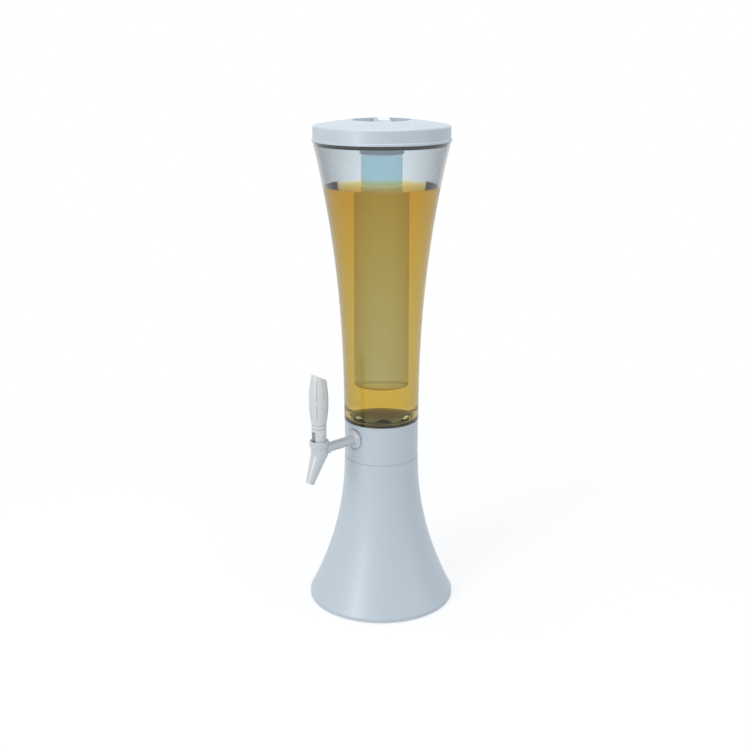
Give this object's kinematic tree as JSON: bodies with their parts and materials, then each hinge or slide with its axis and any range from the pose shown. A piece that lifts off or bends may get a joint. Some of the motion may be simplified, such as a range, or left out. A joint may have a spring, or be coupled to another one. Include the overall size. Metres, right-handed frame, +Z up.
{
  "type": "drink dispenser tower",
  "caption": "Tabletop drink tower: a flared clear tank with an ice tube hung from its lift-off lid, on a flared base with a lever tap.",
  "frame": {"origin": "on the table, under the tower's axis, at the centre of the foot pad's underside", "axes": "+Z up along the tower's axis; the tap points along -Y, so its user stands on the -Y side; +X is that user's right"},
  "size_m": [0.2, 0.2335, 0.6616],
  "materials": {
    "silver_plastic": "satin metallic",
    "clear_plastic": "polished clear",
    "blue_clear_plastic": "polished clear tint",
    "grey_plastic": "moulded matte",
    "dark_plastic": "moulded matte",
    "natural_plastic": "moulded matte",
    "handle_plastic": "moulded semi-gloss",
    "tap_plastic": "satin metallic",
    "dark_rubber": "moulded matte",
    "pale_silicone": "moulded matte",
    "steel": "drawn and plated"
  },
  "bodies": {
    "base": {"base_shell": "silver_plastic", "bottom_plate": "dark_plastic", "foot_pad": "dark_rubber", "plate_screws": "steel", "lock_ring": "grey_plastic", "ring_screws": "steel"},
    "tower": {"collar": "silver_plastic", "tank": "clear_plastic", "tank_floor": "clear_plastic", "tank_gasket": "dark_rubber", "ring_nut": "grey_plastic", "strainer": "grey_plastic", "drain_cup": "dark_plastic", "drain_seal": "dark_rubber", "shank": "tap_plastic", "shank_seal": "dark_rubber", "shank_nut": "grey_plastic", "inner_washer": "dark_rubber", "rosette": "tap_plastic", "rosette_gasket": "dark_rubber", "tap_body": "tap_plastic", "bonnet": "tap_plastic", "seat_cup": "pale_silicone", "valve_spring": "steel"},
    "stem": {"valve_stem": "natural_plastic", "pivot_pin": "steel"},
    "lever": {"tap_handle": "handle_plastic"},
    "lid": {"lid_cap": "silver_plastic", "lid_liner": "silver_plastic", "lid_gasket": "dark_rubber", "tube_socket": "grey_plastic", "tube_seal": "dark_rubber"},
    "chiller": {"ice_tube": "blue_clear_plastic"}
  },
  "joints": [
    {"name": "tower_twist", "type": "hinge", "parent": "base", "child": "tower", "pos_m": [0, 0, 0.208], "axis": [0, 0, 1], "range_deg": [0, 40]},
    {"name": "stem_lift", "type": "slide", "parent": "tower", "child": "stem", "axis": [0, 0, 1], "range_m": [0, 0.0026], "deforming": ["valve_spring", "seat_cup"]},
    {"name": "lever_pull", "type": "hinge", "parent": "stem", "child": "lever", "pos_m": [0, -0.1115, 0.2602], "axis": [1, 0, 0], "range_deg": [0, 40], "stiffness_Nm_per_rad": 0.25, "springref_deg": -17.19},
    {"name": "lid_lift", "type": "slide", "parent": "tower", "child": "lid", "axis": [0, 0, 1], "range_m": [0, 0.36]},
    {"name": "tube_pull", "type": "slide", "parent": "lid", "child": "chiller", "axis": [0, 0, -1], "range_m": [0, 0.03]}
  ],
  "couplings": [
    {"joint": "stem_lift", "follows": "lever_pull", "m_per_rad": 0.0036}
  ]
}
